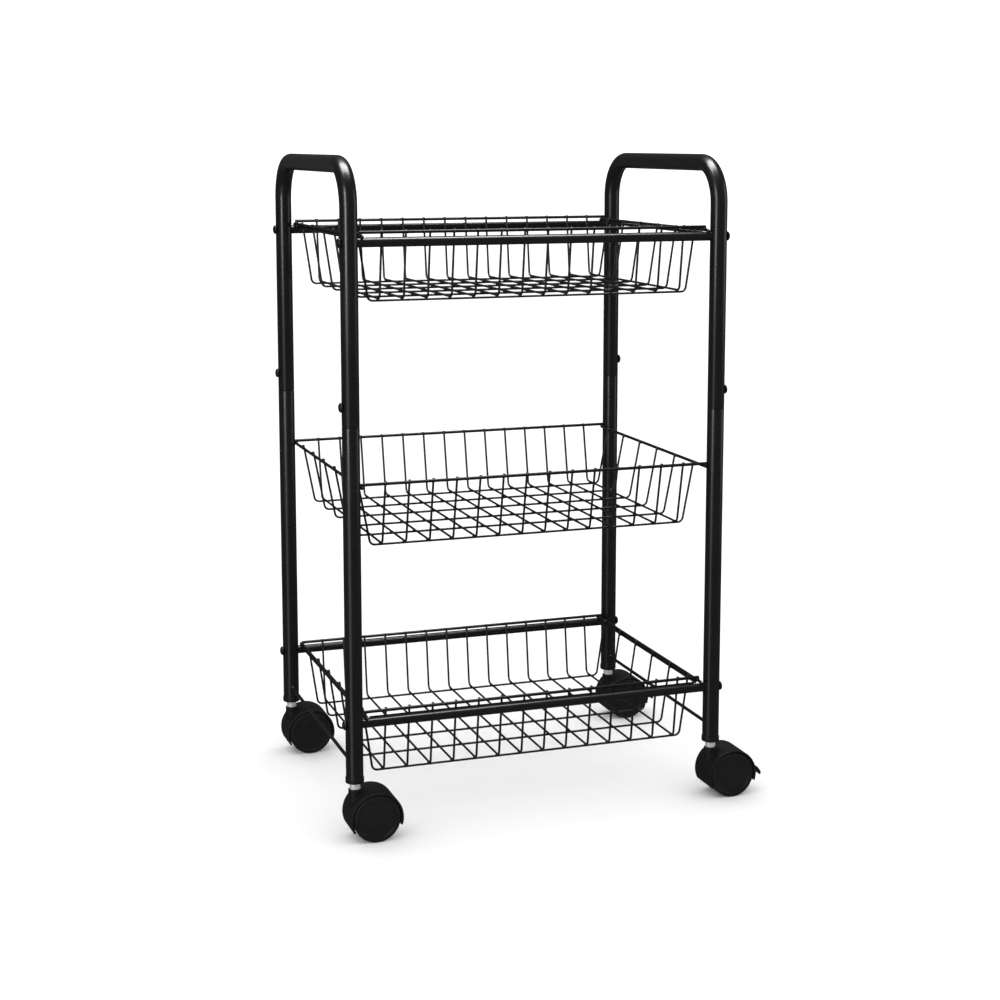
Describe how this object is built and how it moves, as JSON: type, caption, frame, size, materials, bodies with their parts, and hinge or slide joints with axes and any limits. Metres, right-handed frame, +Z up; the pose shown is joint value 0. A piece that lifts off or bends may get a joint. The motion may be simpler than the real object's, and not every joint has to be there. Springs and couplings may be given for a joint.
{
  "type": "rolling pantry cart",
  "caption": "Rolling pantry cart: two black tube hoops on lower posts carry open wire baskets on tiers and stand on hooded twin-wheel casters, some with a foot brake.",
  "frame": {"origin": "on the floor, midway between the four posts", "axes": "+X along the long side, with the casters trailing towards +X; +Y towards the back; +Z up"},
  "size_m": [0.4973, 0.3492, 0.7362],
  "materials": {
    "powder_coat": "satin powder coat",
    "wire_coat": "satin powder coat",
    "black_screw": "black zinc",
    "plated_steel": "bright zinc",
    "socket_plastic": "matte",
    "caster_plastic": "fine moulded grain",
    "wheel_plastic": "smooth moulded"
  },
  "bodies": {
    "cart_frame": {"bottom_basket_front_back_wires": "wire_coat", "bottom_basket_left_right_wires": "wire_coat", "bottom_basket_long_rims": "wire_coat", "bottom_basket_second_long_rims": "wire_coat", "bottom_basket_second_side_rims": "wire_coat", "bottom_basket_side_rims": "wire_coat", "bottom_rail_front": "powder_coat", "bottom_rail_rear": "powder_coat", "caster_stem_front_left": "plated_steel", "caster_stem_front_right": "plated_steel", "caster_stem_rear_left": "plated_steel", "caster_stem_rear_right": "plated_steel", "lower_post_front_left": "powder_coat", "lower_post_front_right": "powder_coat", "lower_post_rear_left": "powder_coat", "lower_post_rear_right": "powder_coat", "middle_basket_front_back_wires": "wire_coat", "middle_basket_left_right_wires": "wire_coat", "middle_basket_long_rims": "wire_coat", "middle_basket_side_rims": "wire_coat", "post_joint_screws": "black_screw", "rail_end_inserts": "plated_steel", "rail_screws": "black_screw", "side_rods": "powder_coat", "stem_grip_rings": "plated_steel", "stem_socket_front_left": "socket_plastic", "stem_socket_front_right": "socket_plastic", "stem_socket_rear_left": "socket_plastic", "stem_socket_rear_right": "socket_plastic", "swivel_retaining_rings": "plated_steel", "top_basket_front_back_wires": "wire_coat", "top_basket_left_right_wires": "wire_coat", "top_basket_long_rims": "wire_coat", "top_basket_second_long_rims": "wire_coat", "top_basket_second_side_rims": "wire_coat", "top_basket_side_rims": "wire_coat", "top_rail_front": "powder_coat", "top_rail_rear": "powder_coat", "upper_hoop_left": "powder_coat", "upper_hoop_right": "powder_coat"},
    "caster_front_left": {"caster_hood_front_left": "caster_plastic", "caster_axle_front_left": "plated_steel"},
    "wheel_front_left_outer": {"caster_wheel_front_left_outer": "wheel_plastic"},
    "wheel_front_left_inner": {"caster_wheel_front_left_inner": "wheel_plastic"},
    "caster_front_right": {"caster_hood_front_right": "caster_plastic", "caster_axle_front_right": "plated_steel", "brake_pin_front_right": "plated_steel"},
    "wheel_front_right_outer": {"caster_wheel_front_right_outer": "wheel_plastic"},
    "wheel_front_right_inner": {"caster_wheel_front_right_inner": "wheel_plastic"},
    "brake_front_right": {"brake_lever_front_right": "caster_plastic"},
    "caster_rear_left": {"caster_hood_rear_left": "caster_plastic", "caster_axle_rear_left": "plated_steel"},
    "wheel_rear_left_outer": {"caster_wheel_rear_left_outer": "wheel_plastic"},
    "wheel_rear_left_inner": {"caster_wheel_rear_left_inner": "wheel_plastic"},
    "caster_rear_right": {"caster_hood_rear_right": "caster_plastic", "caster_axle_rear_right": "plated_steel", "brake_pin_rear_right": "plated_steel"},
    "wheel_rear_right_outer": {"caster_wheel_rear_right_outer": "wheel_plastic"},
    "wheel_rear_right_inner": {"caster_wheel_rear_right_inner": "wheel_plastic"},
    "brake_rear_right": {"brake_lever_rear_right": "caster_plastic"}
  },
  "joints": [
    {"name": "front_left_swivel", "type": "hinge", "parent": "cart_frame", "child": "caster_front_left", "pos_m": [-0.212, -0.154, 0.0565], "axis": [0, 0, 1], "continuous": true},
    {"name": "front_left_outer_wheel_spin", "type": "hinge", "parent": "caster_front_left", "child": "wheel_front_left_outer", "pos_m": [-0.192, -0.154, 0.026], "axis": [0, 1, 0], "continuous": true},
    {"name": "front_left_inner_wheel_spin", "type": "hinge", "parent": "caster_front_left", "child": "wheel_front_left_inner", "pos_m": [-0.192, -0.154, 0.026], "axis": [0, 1, 0], "continuous": true},
    {"name": "front_right_swivel", "type": "hinge", "parent": "cart_frame", "child": "caster_front_right", "pos_m": [0.212, -0.154, 0.0565], "axis": [0, 0, 1], "continuous": true},
    {"name": "front_right_outer_wheel_spin", "type": "hinge", "parent": "caster_front_right", "child": "wheel_front_right_outer", "pos_m": [0.232, -0.154, 0.026], "axis": [0, 1, 0], "continuous": true},
    {"name": "front_right_inner_wheel_spin", "type": "hinge", "parent": "caster_front_right", "child": "wheel_front_right_inner", "pos_m": [0.232, -0.154, 0.026], "axis": [0, 1, 0], "continuous": true},
    {"name": "front_right_brake", "type": "hinge", "parent": "caster_front_right", "child": "brake_front_right", "pos_m": [0.2507, -0.154, 0.0293], "axis": [0, 1, 0], "range_deg": [0, 18]},
    {"name": "rear_left_swivel", "type": "hinge", "parent": "cart_frame", "child": "caster_rear_left", "pos_m": [-0.212, 0.154, 0.0565], "axis": [0, 0, 1], "continuous": true},
    {"name": "rear_left_outer_wheel_spin", "type": "hinge", "parent": "caster_rear_left", "child": "wheel_rear_left_outer", "pos_m": [-0.192, 0.154, 0.026], "axis": [0, 1, 0], "continuous": true},
    {"name": "rear_left_inner_wheel_spin", "type": "hinge", "parent": "caster_rear_left", "child": "wheel_rear_left_inner", "pos_m": [-0.192, 0.154, 0.026], "axis": [0, 1, 0], "continuous": true},
    {"name": "rear_right_swivel", "type": "hinge", "parent": "cart_frame", "child": "caster_rear_right", "pos_m": [0.212, 0.154, 0.0565], "axis": [0, 0, 1], "continuous": true},
    {"name": "rear_right_outer_wheel_spin", "type": "hinge", "parent": "caster_rear_right", "child": "wheel_rear_right_outer", "pos_m": [0.232, 0.154, 0.026], "axis": [0, 1, 0], "continuous": true},
    {"name": "rear_right_inner_wheel_spin", "type": "hinge", "parent": "caster_rear_right", "child": "wheel_rear_right_inner", "pos_m": [0.232, 0.154, 0.026], "axis": [0, 1, 0], "continuous": true},
    {"name": "rear_right_brake", "type": "hinge", "parent": "caster_rear_right", "child": "brake_rear_right", "pos_m": [0.2507, 0.154, 0.0293], "axis": [0, 1, 0], "range_deg": [0, 18]}
  ]
}
